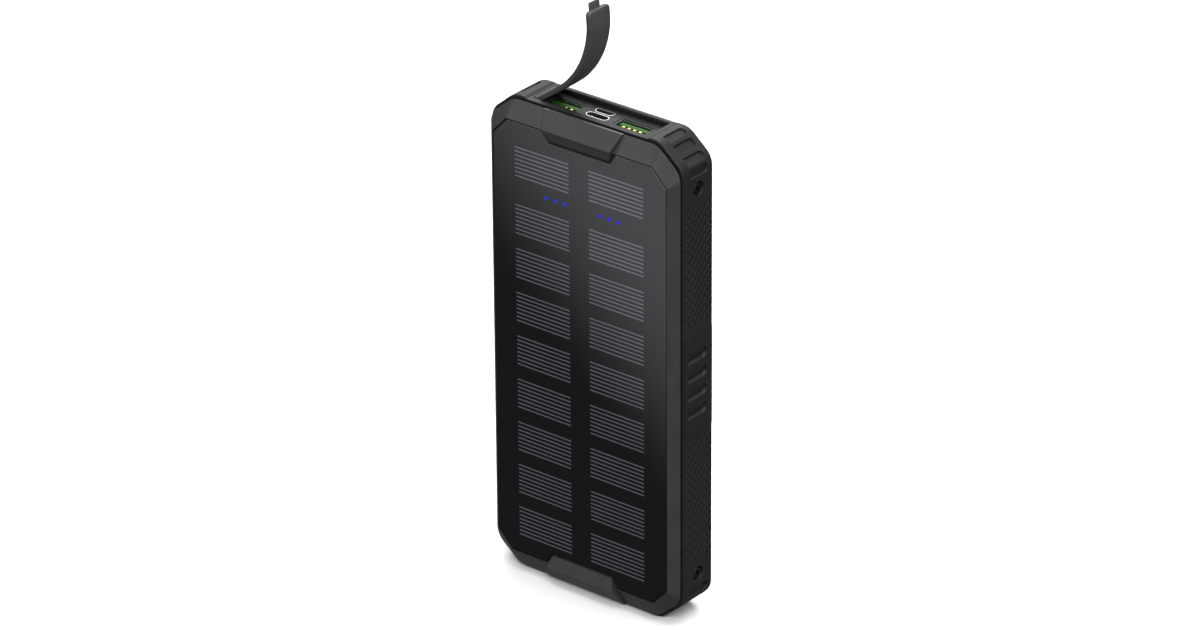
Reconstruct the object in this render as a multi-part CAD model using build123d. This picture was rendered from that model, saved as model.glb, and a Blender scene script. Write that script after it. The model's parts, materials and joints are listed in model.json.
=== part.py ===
from build123d import *
import math
import os

# Rugged solar power bank, standing upright on its foot.
# X is across the width, -Y is the solar side, +Z is up.  The origin is the middle of the
# overall footprint, on the surface that the power bank stands on.  All sizes in millimetres.

# ---------------------------------------------------------------- driving dimensions
# how far every cutter reaches past the surface that it cuts
over = 1.0

# overall shell
body_width = 80.0
body_height = 175.0
case_depth = 15.9
bezel_depth = 3.6
bezel_margin = 0.5
corner_cut_x = 9.6
corner_cut_z = 8.1
corner_radius = 7.0
bumper_proud = 0.5
bumper_flat = 1.6
bumper_ramp = 1.2
side_wall = 2.8
end_wall = 4.0
back_wall = 2.0
back_edge_radius = 1.0
front_edge_break = 0.35
bezel_edge_break = 0.3
glass_edge_break = 0.2
glass_corner_radius = 0.6
recess_rim_break = 0.35
parting_gap = 0.6
parting_setback = 1.0

# solar panel
glass_side_margin = 4.1
glass_end_margin = 7.3
glass_cut_x = 5.9
glass_cut_z = 6.2
glass_thickness = 1.1
glass_gap = 0.45
adhesive_inset = 0.5
adhesive_setback = 0.3
adhesive_thickness = 0.3
ledge_side = 2.2
ledge_end = 5.6
cell_thickness = 0.25
backing_hole_clearance = 0.2
backing_thickness = 1.0
backing_clearance = 0.4
fingers_per_cell = 8
pitches_per_row = 11
finger_edge_margin = 9.05
column_gap = 8.3
cell_border = 1.4
top_cell_drop = 8.8
first_row_step = 21.0
last_row_rise = 17.2
lower_rows = 8

# bosses at the middle of the top and bottom strips of the bezel
boss_proud = 1.5
boss_top_step = 1.0
boss_ridge_drop = 5.5
boss_toe_rise = 0.5
boss_toe_depth = 1.2
boss_outer_half = 16.3
boss_ridge_half = 14.2
boss_toe_half = 12.5
notch_outer_half = 15.4
notch_inner_half = 12.9
notch_depth = 4.0
notch_gap = 0.7

# status lights
light_drop = 23.7
light_pitch = 3.9
light_group_left = -9.8
light_group_right = 12.6
lens_diameter = 1.5
lens_clearance = 0.05
led_size = 1.6
led_height = 0.6
led_gap = 0.1
led_board_margin = 4.0
led_board_thickness = 0.6

# side grips
knurl_depth = 0.4
knurl_grip_gap = 0.6
knurl_end_distance = 22.0
knurl_front_margin = 0.8
knurl_back_margin = 1.2
grip_proud = 0.4
grip_half = 17.5
grip_ramp = 2.5
grip_shift = 1.2
groove_width = 3.6
groove_pitch = 6.75
right_grooves = (-1.5, -0.5, 0.5, 1.5)
left_grooves = (-1.5, 1.5)
groove_length = 9.6
groove_shift = -0.9
groove_depth = 0.1
groove_dip = 0.95
slot_width = 2.9
slot_length = 9.0
slot_depth = 0.8
slot_pitch = 5.2
slot_shift = 0.4
pocket_draft = 20.0
back_panel_depth = 0.5
back_panel_margin = 9.0

# port recess in the top
recess_left = -24.0
recess_right = 23.4
recess_width = 11.4
recess_shift = 0.35
recess_corner = 0.6
recess_depth = 2.0
usb_a_pitch = 28.6
port_centre = -1.3
port_centre_small = -1.0
port_clearance = 0.1
small_socket_proud = 0.1
large_socket_sunk = 0.3
usb_a_width = 13.1
usb_a_height = 5.7
usb_a_length = 14.0
usb_a_wall = 0.3
usb_a_tongue_width = 11.1
usb_a_tongue_thickness = 1.84
usb_a_tongue_setback = 0.8
usb_a_rear_gap = 0.7
insulator_base = 3.0
contact_width = 1.0
contact_thickness = 0.15
contact_pitch = 2.3
contact_steps = (-1.5, -0.5, 0.5, 1.5)
contact_drop = 0.1
contact_bulge = 1.0
contact_bulge_height = 1.3
usb_c_width = 8.94
usb_c_height = 3.26
usb_c_length = 7.4
usb_c_wall = 0.22
usb_c_tongue_width = 6.7
usb_c_tongue_thickness = 0.7
micro_width = 7.5
micro_height = 2.6
micro_length = 5.6
micro_wall = 0.22
micro_base = 1.2
micro_tongue_setback = 0.6
usb_c_base = 1.5
usb_c_tongue_setback = 0.8
micro_cut = 0.9
micro_tongue_width = 3.7
micro_tongue_thickness = 0.6
small_port_gap = 0.75

# port cover strap
strap_width = 10.8
strap_thickness = 1.8
strap_floor_gap = 0.3
strap_root_inset = 1.2
strap_link_gap = 0.25
strap_root_length = 9.0
strap_end_gap = 0.9
strap_angles = (35.0, 39.0, 50.0, 61.0, 71.5, 82.0, 95.0)
tab_width = 5.2
tab_length = 2.4
tab_thickness = 0.8
tab_root = 3.0
anchor_clearance = 0.1
barb_gap = 0.05
anchor_thickness = 1.0
anchor_inset = 0.5
anchor_width = 5.8
anchor_barb = 0.6
anchor_barb_height = 1.0

# power button on the left side
button_length = 9.0
button_width = 5.6
button_travel = 0.4
button_flange = 0.8
button_flange_thickness = 0.6
button_flange_step = 1.2
button_clearance = 0.15
switch_length = 6.0
switch_width = 4.2
switch_height = 1.4
plunger_diameter = 1.8
plunger_entry = 0.6
plunger_clearance = 0.1
button_edge_break = 0.3
button_board_length = 14.0
plunger_length = 2.2
button_board_thickness = 0.8

# fasteners
screw_end_distance = 16.4
screw_off_centre = 0.15
screw_head_diameter = 4.0
screw_head_thickness = 1.2
screw_recess_diameter = 4.5
screw_recess_depth = 1.6
screw_recess_draft = 14.0
screw_shank_diameter = 1.9
screw_shank_length = 5.2
screw_hole_clearance = 0.2
screw_edge_break = 0.3
insert_diameter = 3.2
insert_length = 2.6
insert_bore = 2.0
fit_clearance = 0.02
lug_height = 7.4
lug_thickness = 3.2
lug_reach = 3.6
drive_width = 0.7
drive_length = 2.2
drive_depth = 0.6

# inside
tongue_clearance = 0.3
tongue_thickness = 1.5
tongue_depth = 2.2
seal_width = 1.2
battery_lug_gap = 2.2
battery_front_gap = 1.3
battery_edge_radius = 1.2
battery_pad = 0.4
battery_foam = 1.2
battery_end_gap = 7.5
board_thickness = 1.0
board_standoff = 0.6
board_socket_gap = 0.12
board_height = 21.0
board_lug_gap = 1.1
board_top_gap = 1.0
board_corner_cut = 5.0
board_screw_inset_x = 4.0
board_screw_inset_z = 4.0
board_screw_diameter = 1.8
board_screw_head = 3.4
board_screw_cap = 1.2
board_screw_slot = 0.6
board_screw_slot_floor = 0.7
board_screw_bite = 0.6
thread_clearance = 0.12
standoff_diameter = 4.6
standoff_bite = 0.2
pilot_depth = 0.8
pilot_clearance = 0.1
chip_size = 7.0
chip_x = -2.0
chip_rise = 6.3
small_chip_size = 4.9
small_chip_x = 4.6
chip_height = 1.0
inductor_size = 6.0
inductor_height = 3.0
inductor_chamfer = 1.2
low_part_rise = 4.0
capacitor_diameter = 3.0
capacitor_height = 4.0
capacitor_inset = 5.1
capacitor_pitch = 4.3
inductor_inset = 11.1
ribbon_thickness = 0.3
ribbon_width = 7.0
ribbon_x = -4.0
ribbon_rise = 0.8
ribbon_pad_height = 7.0
cell_tab_width = 4.0
cell_tab_x = 8.0
front_tab_reach = 4.0
rear_tab_reach = 2.6
cell_tab_thickness = 0.3

# ---------------------------------------------------------------- derived places
glass_width = body_width - 2 * glass_side_margin
glass_height = body_height - 2 * glass_end_margin
overall_depth = boss_proud + bezel_depth + parting_gap + case_depth
glass_y = -overall_depth / 2 + boss_proud
bezel_back_y = glass_y + bezel_depth
case_front_y = bezel_back_y + parting_gap
case_back_y = case_front_y + case_depth
cavity_back_y = case_back_y - back_wall
middle_z = bumper_proud + body_height / 2
half_width = body_width / 2
half_height = body_height / 2
top_z = middle_z + half_height
port_y = (case_front_y + case_back_y) / 2
recess_y = port_y + recess_shift
grip_z = middle_z + grip_shift
recess_floor_z = top_z - recess_depth
cavity_top_z = top_z - end_wall
cavity_half_width = half_width - side_wall
cavity_half_height = half_height - end_wall
glass_half_width = glass_width / 2
glass_half_height = glass_height / 2
glass_back_y = glass_y + glass_thickness
ledge_y = glass_back_y + adhesive_thickness
backing_front_y = glass_back_y + cell_thickness
backing_back_y = backing_front_y + backing_thickness
board_back_y = cavity_back_y - board_standoff
board_front_y = board_back_y - board_thickness
screw_y = port_y + screw_off_centre
screw_height = half_height - screw_end_distance
board_top_z = cavity_top_z - board_top_gap
board_bottom_z = board_top_z - board_height
strap_z = recess_floor_z + strap_floor_gap + strap_thickness / 2
strap_root_x = recess_left + strap_root_inset
strap_length = recess_right - strap_end_gap - strap_root_x
strap_link_length = (strap_length - strap_root_length) / (len(strap_angles) - 1)
anchor_x = strap_root_x - anchor_inset
lug_inner = cavity_half_width - tongue_clearance - lug_thickness
battery_width = 2 * (lug_inner - battery_lug_gap)
battery_room = cavity_back_y - battery_foam - battery_pad - battery_front_gap - bezel_back_y
battery_thickness = battery_room / 2
board_half = lug_inner - board_lug_gap
finger_length = glass_half_width - finger_edge_margin - column_gap / 2
column_offset = (column_gap + finger_length) / 2
first_finger = glass_half_height - top_cell_drop
second_finger = first_finger - first_row_step
row_pitch = (second_finger + glass_half_height - last_row_rise) / (lower_rows - 1)
finger_pitch = row_pitch / pitches_per_row


# ---------------------------------------------------------------- small helpers
def prism(face, front, back):
    """A flat shape drawn in X and Z, made solid from y = front to y = back."""
    return extrude(Plane.XZ.offset(-back) * face, amount=back - front)


def block(x0, x1, y0, y1, z0, z1):
    """A plain block between two opposite corners."""
    size = (x1 - x0, y1 - y0, z1 - z0)
    return Pos((x0 + x1) / 2, (y0 + y1) / 2, (z0 + z1) / 2) * Box(*size)


def cut_rectangle(half_x, half_z, cut_x, cut_z, radius):
    """A rectangle about the middle of the body with cut and rounded corners."""
    points = []
    for side_x, side_z, first in ((1, 1, True), (1, -1, False), (-1, -1, True), (-1, 1, False)):
        on_end = (side_x * (half_x - cut_x), side_z * half_z)
        on_side = (side_x * half_x, side_z * (half_z - cut_z))
        points += [on_end, on_side] if first else [on_side, on_end]
    face = make_face(Polyline(*points, close=True))
    return Pos(0, middle_z) * fillet(face.vertices(), radius)


def both_ends(points):
    """The same polygon at the top and, turned over, at the bottom of the body."""
    upper = make_face(Polyline(*points, close=True))
    return [Pos(0, middle_z) * upper, Pos(0, middle_z) * mirror(upper, about=Plane.XZ)]


def cylinder_x(x0, x1, y, z, diameter):
    """A round bar that lies along X."""
    return Pos((x0 + x1) / 2, y, z) * Rot(0, 90, 0) * Cylinder(diameter / 2, abs(x1 - x0))


def cylinder_y(x, y0, y1, z, diameter):
    """A round bar that lies along Y."""
    return Pos(x, (y0 + y1) / 2, z) * Rot(90, 0, 0) * Cylinder(diameter / 2, abs(y1 - y0))


def light_positions():
    """Centres of the six status lights, in X."""
    groups = (light_group_left, light_group_right)
    return [group + step * light_pitch for group in groups for step in (-1, 0, 1)]


def row_tops():
    """Height of the first finger of every row of cells, from the middle of the body."""
    return [first_finger] + [second_finger - row * row_pitch for row in range(lower_rows)]


light_z = middle_z + glass_half_height - light_drop
usb_a_centres = {"left": port_centre - usb_a_pitch / 2, "right": port_centre + usb_a_pitch / 2}
micro_y = board_front_y - board_socket_gap - micro_height / 2
usb_c_y = micro_y - (usb_c_height + micro_height) / 2 - small_port_gap


# ---------------------------------------------------------------- rear case
def outer_shell():
    """The outside of the case: cut corners, proud corner bumpers and raised middle grips."""
    half_tall = half_height + bumper_proud
    shell = prism(
        cut_rectangle(half_width, half_tall, corner_cut_x, corner_cut_z, corner_radius),
        case_front_y,
        case_back_y,
    )
    back_edges = shell.faces().sort_by(Axis.Y)[-1].edges()
    shell = fillet(back_edges, back_edge_radius)
    shell = chamfer(shell.faces().sort_by(Axis.Y)[0].edges(), front_edge_break)
    bend = math.atan2(corner_cut_z, corner_cut_x) / 2
    bumper_start = half_width - corner_cut_x - corner_radius * math.tan(bend) - bumper_flat
    flat_half = bumper_start - bumper_ramp
    for face in both_ends(
        [
            (-flat_half, half_height),
            (flat_half, half_height),
            (bumper_start, half_tall),
            (bumper_start, half_tall + over),
            (-bumper_start, half_tall + over),
            (-bumper_start, half_tall),
        ]
    ):
        shell -= prism(face, case_front_y - over, case_back_y + over)
    return shell


def middle_grips():
    """The two raised pads at half height, which run out smoothly at their ends."""
    pads = []
    for side in (-1, 1):
        inner = side * (half_width - side_wall / 2)
        points = [
            (inner, grip_half + grip_ramp),
            (side * half_width, grip_half + grip_ramp),
            (side * (half_width + grip_proud), grip_half),
            (side * (half_width + grip_proud), -grip_half),
            (side * half_width, -grip_half - grip_ramp),
            (inner, -grip_half - grip_ramp),
        ]
        outline = Pos(0, grip_z) * make_face(Polyline(*points, close=True))
        pads.append(prism(outline, case_front_y + front_edge_break, case_back_y - back_edge_radius))
    return pads


def knurl_fields():
    """Shallow recesses on the sides that hold the knurling."""
    y0 = case_front_y + knurl_front_margin
    y1 = case_back_y - knurl_back_margin
    fields = []
    for side in (-1, 1):
        floor = side * (half_width - knurl_depth)
        beyond = side * (half_width + over)
        for end in (-1, 1):
            z0 = grip_z + end * (grip_half + grip_ramp + knurl_grip_gap)
            z1 = middle_z + end * (half_height - knurl_end_distance)
            inner, outer = sorted((floor, beyond))
            low, high = sorted((z0, z1))
            fields.append(block(inner, outer, y0, y1, low, high))
    return fields


def d_pocket(width, length, depth, dip=0.0):
    """A cutter for a shallow pocket with one round end and sloping walls.

    Its floor runs along +Y from a flat end at the origin, a depth below z = 0, and dips
    towards +X by a further amount.
    """
    flat = Rectangle(width, length - width / 2, align=(Align.CENTER, Align.MIN))
    floor = flat + Pos(0, length - width / 2) * Circle(width / 2)
    pocket = extrude(floor, amount=depth + dip + over, taper=-pocket_draft)
    tilt = math.degrees(math.asin(dip / width))
    return Pos(-width / 2, 0, -depth) * Rot(0, tilt, 0) * Pos(width / 2, 0, 0) * pocket


def groove_cutters():
    """Four grooves on the right grip; the left one keeps two, with the button between them.

    Each is deepest along its lower edge.
    """
    y = port_y - groove_length / 2 + groove_shift
    cutters = []
    for side, rows in ((1, right_grooves), (-1, left_grooves)):
        groove = d_pocket(groove_width, groove_length, groove_depth, groove_dip)
        if side < 0:
            groove = mirror(groove, about=Plane.YZ)
        for row in rows:
            place = Pos(side * (half_width + grip_proud), y, grip_z + row * groove_pitch)
            cutters.append(place * Rot(0, side * 90, 0) * groove)
    return cutters


def corner_slots():
    """Four shallow D-shaped pockets that follow each other round each corner bumper."""
    cut_length = math.hypot(corner_cut_x, corner_cut_z)
    tilt = math.degrees(math.atan2(corner_cut_z, corner_cut_x))
    along_x = corner_cut_x / cut_length
    along_z = corner_cut_z / cut_length
    corner_x = half_width - corner_cut_x
    corner_z = half_height + bumper_proud
    rounding = corner_radius * (1 / math.cos(math.radians(tilt / 2)) - 1)
    spots = [(corner_x, corner_z - rounding, tilt / 2)]
    for step in (1, 2):
        run = step * slot_pitch
        spots.append((corner_x + along_x * run, corner_z - along_z * run, tilt))
    spots.append((half_width, corner_z - corner_cut_z - slot_pitch / 2, 90))
    start = port_y - slot_length / 2 + slot_shift
    cutters = []
    for side in (-1, 1):
        for end in (-1, 1):
            for x, z, angle in spots:
                turn = side * (angle if end > 0 else 180 - angle)
                place = Pos(side * x, start, middle_z + end * z)
                cutters.append(place * Rot(0, turn, 0) * d_pocket(slot_width, slot_length, slot_depth))
    return cutters


def port_openings(clearance):
    """The outlines of the four sockets, as seen from above, with a clearance all round."""
    outlines = []
    for x in usb_a_centres.values():
        opening = Rectangle(usb_a_width + 2 * clearance, usb_a_height + 2 * clearance)
        outlines.append(Pos(x, port_y) * opening)
    outlines.append(Pos(port_centre_small, usb_c_y) * usb_c_outline(clearance))
    outlines.append(Pos(port_centre_small, micro_y) * micro_outline(clearance))
    return outlines


def usb_c_outline(offset):
    """The rounded mouth of the small oval socket."""
    height = usb_c_height + 2 * offset
    return SlotOverall(usb_c_width + 2 * offset, height)


def micro_outline(offset):
    """The mouth of the small flat socket, with its two cut corners towards -Y."""
    half = micro_width / 2 + offset
    rear = micro_height / 2 + offset
    points = [
        (-half + micro_cut, -rear),
        (half - micro_cut, -rear),
        (half, -rear + micro_cut),
        (half, rear),
        (-half, rear),
        (-half, -rear + micro_cut),
    ]
    return make_face(Polyline(*points, close=True))


def rear_case():
    """The tub: outer shell, cavity, port recess, grips, screw seats and board standoffs."""
    case = outer_shell()
    for pad in middle_grips():
        case += pad
    cavity = cut_rectangle(cavity_half_width, cavity_half_height, corner_cut_x, corner_cut_z, 3.0)
    case -= prism(cavity, case_front_y - over, cavity_back_y)
    for cutter in knurl_fields() + groove_cutters() + corner_slots():
        case -= cutter
    case -= back_recess()
    case -= recess_cutter()
    for outline in port_openings(port_clearance):
        case -= Pos(0, 0, cavity_top_z - over) * extrude(outline, amount=end_wall)
    case -= anchor_hole()
    for side, z in screw_places():
        case -= screw_seat(side, z)
    for x, z in board_screw_places():
        case += cylinder_y(x, board_back_y, cavity_back_y + standoff_bite, z, standoff_diameter)
        floor = cavity_back_y + pilot_depth
        case -= cylinder_y(x, board_back_y - over, floor, z, board_screw_diameter - 2 * pilot_clearance)
    case -= button_hole()
    return case


def back_recess():
    """The shallow panel in the back face."""
    half_x = half_width - back_panel_margin
    half_z = half_height - back_panel_margin
    panel = cut_rectangle(half_x, half_z, corner_cut_x, corner_cut_z, corner_radius / 2)
    return prism(panel, case_back_y - back_panel_depth, case_back_y + over)


def recess_cutter():
    """The recess in the top that the ports open into, with its broken rim."""
    length = recess_right - recess_left
    place = Pos((recess_left + recess_right) / 2, recess_y)
    mouth = place * RectangleRounded(length, recess_width, recess_corner)
    rim = place * RectangleRounded(
        length + 2 * recess_rim_break,
        recess_width + 2 * recess_rim_break,
        recess_corner + recess_rim_break,
    )
    recess = Pos(0, 0, recess_floor_z) * extrude(mouth, amount=recess_depth + over)
    sections = [Pos(0, 0, top_z - recess_rim_break) * mouth, Pos(0, 0, top_z) * rim]
    return recess + loft(sections, ruled=True)


def screw_places():
    """The side and the height of each case screw."""
    return [(side, middle_z + end * screw_height) for side in (-1, 1) for end in (-1, 1)]


def screw_seat(side, z):
    """The flared counterbore and clearance hole of one case screw."""
    seat = side * (half_width - screw_recess_depth)
    inner = side * (cavity_half_width - over)
    hole = cylinder_x(seat, inner, screw_y, z, screw_shank_diameter + 2 * screw_hole_clearance)
    floor = Plane(origin=(seat, screw_y, z), z_dir=(side, 0, 0)) * Circle(screw_recess_diameter / 2)
    return extrude(floor, amount=screw_recess_depth + over, taper=-screw_recess_draft) + hole


def board_screw_places():
    """Centres of the two screws that hold the main board."""
    x = board_half - board_screw_inset_x
    z = board_bottom_z + board_screw_inset_z
    return [(-x, z), (x, z)]


def button_hole():
    """The stepped opening for the power button in the left wall."""
    outside = -half_width - grip_proud - over
    step = -cavity_half_width - button_flange_step
    wide = button_outline(button_flange + button_clearance)
    narrow = button_outline(button_clearance)
    through = place_left(narrow, outside, step)
    return through + place_left(wide, step, -cavity_half_width + over)


def button_outline(offset):
    """The button's oval, standing upright."""
    return Rot(0, 0, 90) * SlotOverall(button_length + 2 * offset, button_width + 2 * offset)


def place_left(face, x0, x1):
    """Stand a flat shape on the left wall and make it solid from x = x0 to x = x1."""
    plane = Plane(origin=(x0, port_y, grip_z), x_dir=(0, 1, 0), z_dir=(1, 0, 0))
    return extrude(plane * face, amount=x1 - x0)


# ---------------------------------------------------------------- front bezel
def boss():
    """The boss of the top strip: its side view, cut to its front view."""
    crest = half_height - bezel_margin
    ridge = crest - boss_ridge_drop
    toe = glass_half_height - notch_depth + notch_gap
    side_view = [
        (bezel_depth - boss_top_step, crest),
        (-boss_proud, ridge),
        (0, toe + boss_toe_rise),
        (boss_toe_depth, toe),
        (bezel_depth, toe),
        (bezel_depth, crest),
    ]
    front_view = [
        (-boss_outer_half, crest),
        (boss_outer_half, crest),
        (boss_ridge_half, ridge),
        (boss_toe_half, toe),
        (-boss_toe_half, toe),
        (-boss_ridge_half, ridge),
    ]
    side_plane = Plane(origin=(0, glass_y, middle_z), x_dir=(0, 1, 0), z_dir=(1, 0, 0))
    side_face = side_plane * make_face(Polyline(*side_view, close=True))
    bar = extrude(side_face, amount=boss_outer_half + over, both=True)
    front_face = Pos(0, middle_z) * make_face(Polyline(*front_view, close=True))
    return bar & prism(front_face, glass_y - boss_proud - over, bezel_back_y)


def glass_outline(offset):
    """The glass's outline with its two notches, grown by an offset."""
    half_x = glass_half_width + offset
    half_z = glass_half_height + offset
    face = cut_rectangle(half_x, half_z, glass_cut_x, glass_cut_z, glass_corner_radius)
    for notch in both_ends(notch_points(offset)):
        face -= notch
    return face


def notch_points(offset):
    """The trapezoid that the glass leaves free around a boss."""
    top = glass_half_height + 2
    bottom = glass_half_height - notch_depth + offset
    slope = (notch_outer_half - notch_inner_half) / notch_depth
    half_top = notch_outer_half - offset + slope * 2
    half_bottom = notch_inner_half - offset
    return [(-half_top, top), (half_top, top), (half_bottom, bottom), (-half_bottom, bottom)]


def tongue_outline(inset):
    """The part of the bezel that reaches into the case, drawn in by an inset."""
    half_x = cavity_half_width - tongue_clearance - inset
    half_z = cavity_half_height - tongue_clearance - inset
    return cut_rectangle(half_x, half_z, corner_cut_x, corner_cut_z, 2.0)


def ledge_opening(offset):
    """The opening behind the glass, grown by an offset."""
    half_x = glass_half_width - ledge_side + offset
    half_z = glass_half_height - ledge_end + offset
    return cut_rectangle(half_x, half_z, glass_cut_x, glass_cut_z, 1.0)


def bezel_outline(inset):
    """The bezel's outer outline, drawn in by an inset."""
    half_x = half_width - bezel_margin - inset
    half_z = half_height - bezel_margin - inset
    return cut_rectangle(half_x, half_z, corner_cut_x, corner_cut_z, corner_radius)


def front_bezel():
    """The sloping frame round the glass, with its bosses, tongue and screw lugs."""
    crest = Plane.XZ.offset(-glass_y) * cut_glass_pocket()
    widest = Plane.XZ.offset(bezel_edge_break - bezel_back_y) * bezel_outline(0)
    back = Plane.XZ.offset(-bezel_back_y) * bezel_outline(bezel_edge_break)
    bezel = loft([widest, crest], ruled=True) + loft([back, widest], ruled=True)
    bezel -= prism(cut_glass_pocket(), glass_y - over, ledge_y)
    bezel -= prism(ledge_opening(0), glass_y - over, bezel_back_y + over)
    tongue = tongue_outline(0) - tongue_outline(tongue_thickness)
    bezel += prism(tongue, bezel_back_y, bezel_back_y + tongue_depth)
    upper = boss()
    level = Plane(origin=(0, 0, middle_z), z_dir=(0, 0, 1))
    bezel += upper
    bezel += mirror(upper, about=level)
    for side, z in screw_places():
        bezel += screw_lug(side, z)
        bezel -= insert_bar(side, z, insert_diameter + 2 * fit_clearance, lug_thickness + 2)
    return bezel


def cut_glass_pocket():
    """The pocket for the glass, without its notches: the bosses are added afterwards."""
    half_x = glass_half_width + glass_gap
    half_z = glass_half_height + glass_gap
    return cut_rectangle(half_x, half_z, glass_cut_x, glass_cut_z, glass_corner_radius)


def screw_lug(side, z):
    """A lug behind the side wall that takes one case screw."""
    outer = side * (cavity_half_width - tongue_clearance)
    inner = outer - side * lug_thickness
    half = lug_height / 2
    left, right = sorted((inner, outer))
    return block(left, right, bezel_back_y, screw_y + lug_reach, z - half, z + half)


def insert_bar(side, z, diameter, length):
    """A round bar on a case screw's axis, starting at the outer face of its lug."""
    start = side * (cavity_half_width - tongue_clearance)
    if length > lug_thickness:
        start += side
    return cylinder_x(start, start - side * length, screw_y, z, diameter)


# ---------------------------------------------------------------- solar panel
def panel_glass():
    """The octagonal cover glass, with holes for the status lights."""
    glass = prism(glass_outline(0), glass_y, glass_back_y)
    glass = chamfer(glass.faces().sort_by(Axis.Y)[0].edges(), glass_edge_break)
    for x in light_positions():
        hole = lens_diameter + 2 * lens_clearance
        glass -= cylinder_y(x, glass_y - over, glass_back_y + over, light_z, hole)
    return glass


def panel_adhesive():
    """The ring that bonds the glass to the bezel's ledge."""
    inset = glass_outline(-adhesive_inset)
    return prism(inset - ledge_opening(adhesive_setback), glass_back_y, ledge_y)


def cell_height():
    """One cell, tall enough for its fingers and a border."""
    return (fingers_per_cell - 1) * finger_pitch + 2 * cell_border


def solar_cells():
    """Two columns of cells bonded to the back of the glass."""
    cells = []
    half_cell = finger_length / 2 + cell_border
    for top in row_tops():
        high = middle_z + top + cell_border
        for x in (-column_offset, column_offset):
            low = high - cell_height()
            cell = block(x - half_cell, x + half_cell, glass_back_y, backing_front_y, low, high)
            cells.append(cell)
    return Compound(cells)


def panel_backing():
    """The board that carries the cells, with holes for the status lights."""
    board = prism(ledge_opening(-backing_clearance), backing_front_y, backing_back_y)
    for x in light_positions():
        hole = lens_diameter + 2 * backing_hole_clearance
        board -= cylinder_y(x, backing_front_y - over, backing_back_y + over, light_z, hole)
    return board


def status_lenses():
    """Six clear pins that carry the light to the front of the glass."""
    lens_back = backing_back_y + led_gap
    lenses = [cylinder_y(x, glass_y, lens_back, light_z, lens_diameter) for x in light_positions()]
    return Compound(lenses)


def status_leds():
    """Six light-emitting diodes on their board, just behind the pins."""
    front = backing_back_y + 2 * led_gap
    half = led_size / 2
    leds = []
    for x in light_positions():
        leds.append(block(x - half, x + half, front, front + led_height, light_z - half, light_z + half))
    return Compound(leds)


def led_board():
    """The strip that carries the status lights."""
    front = backing_back_y + 2 * led_gap + led_height
    left = min(light_positions()) - led_board_margin
    right = max(light_positions()) + led_board_margin
    return block(left, right, front, front + led_board_thickness, light_z - 3, light_z + 3)


def case_seal():
    """The soft ring in the parting line."""
    outer = cut_rectangle(
        half_width - parting_setback,
        half_height - parting_setback,
        corner_cut_x,
        corner_cut_z,
        corner_radius,
    )
    inner = cut_rectangle(
        half_width - parting_setback - seal_width,
        half_height - parting_setback - seal_width,
        corner_cut_x,
        corner_cut_z,
        corner_radius - 1,
    )
    return prism(outer - inner, bezel_back_y, case_front_y)


# ---------------------------------------------------------------- sockets
def hollow_socket(outline, inner, length, proud):
    """A metal sleeve that stands proud of the recess floor, or starts below it."""
    sleeve = extrude(outline - inner, amount=-length - proud)
    return Pos(0, 0, recess_floor_z + proud) * sleeve


def usb_a_shell(x):
    """The rectangular sleeve of a large socket."""
    outline = Rectangle(usb_a_width, usb_a_height)
    inner = Rectangle(usb_a_width - 2 * usb_a_wall, usb_a_height - 2 * usb_a_wall)
    return Pos(x, port_y) * hollow_socket(outline, inner, usb_a_length, -large_socket_sunk)


def usb_a_tongue(x):
    """The insulator of a large socket: a base and a tongue near the rear wall."""
    rear = port_y + usb_a_height / 2 - usb_a_wall
    low = recess_floor_z - usb_a_length
    half_base = usb_a_width / 2 - usb_a_wall - fit_clearance
    half_depth = usb_a_height / 2 - usb_a_wall - fit_clearance
    front = port_y - half_depth
    base = block(x - half_base, x + half_base, front, port_y + half_depth, low, low + insulator_base)
    half = usb_a_tongue_width / 2
    back = rear - usb_a_rear_gap
    high = recess_floor_z - usb_a_tongue_setback
    return base + block(x - half, x + half, back - usb_a_tongue_thickness, back, low + 1, high)


def usb_a_contacts(x):
    """Four sprung contacts on the front of a large socket's tongue, bulging near its end."""
    face = port_y + usb_a_height / 2 - usb_a_wall - usb_a_rear_gap - usb_a_tongue_thickness
    low = recess_floor_z - usb_a_length + insulator_base
    high = recess_floor_z - usb_a_tongue_setback - contact_drop
    contacts = []
    for step in contact_steps:
        left = x + step * contact_pitch - contact_width / 2
        right = left + contact_width
        leaf = block(left, right, face - contact_thickness, face, low, high)
        bulge = block(left, right, face - contact_bulge, face, high - contact_bulge_height, high)
        crown = bulge.edges().filter_by(Axis.X).group_by(Axis.Y)[0]
        contacts.append(leaf + fillet(crown, contact_bulge_height / 3))
    return Compound(contacts)


def usb_c_shell():
    """The oval sleeve of the small socket."""
    place = Pos(port_centre_small, usb_c_y)
    inner = usb_c_outline(-usb_c_wall)
    return place * hollow_socket(usb_c_outline(0), inner, usb_c_length, small_socket_proud)


def usb_c_tongue():
    """The insulator of the oval socket."""
    low = recess_floor_z - usb_c_length
    outline = usb_c_outline(-usb_c_wall - fit_clearance)
    base = Pos(port_centre_small, usb_c_y, low) * extrude(outline, amount=usb_c_base)
    high = recess_floor_z - usb_c_tongue_setback
    half_x = usb_c_tongue_width / 2
    half_y = usb_c_tongue_thickness / 2
    x = port_centre_small
    tongue = block(x - half_x, x + half_x, usb_c_y - half_y, usb_c_y + half_y, low + 1, high)
    return base + tongue


def micro_shell():
    """The flat sleeve of the smallest socket."""
    place = Pos(port_centre_small, micro_y)
    inner = micro_outline(-micro_wall)
    return place * hollow_socket(micro_outline(0), inner, micro_length, small_socket_proud)


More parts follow.
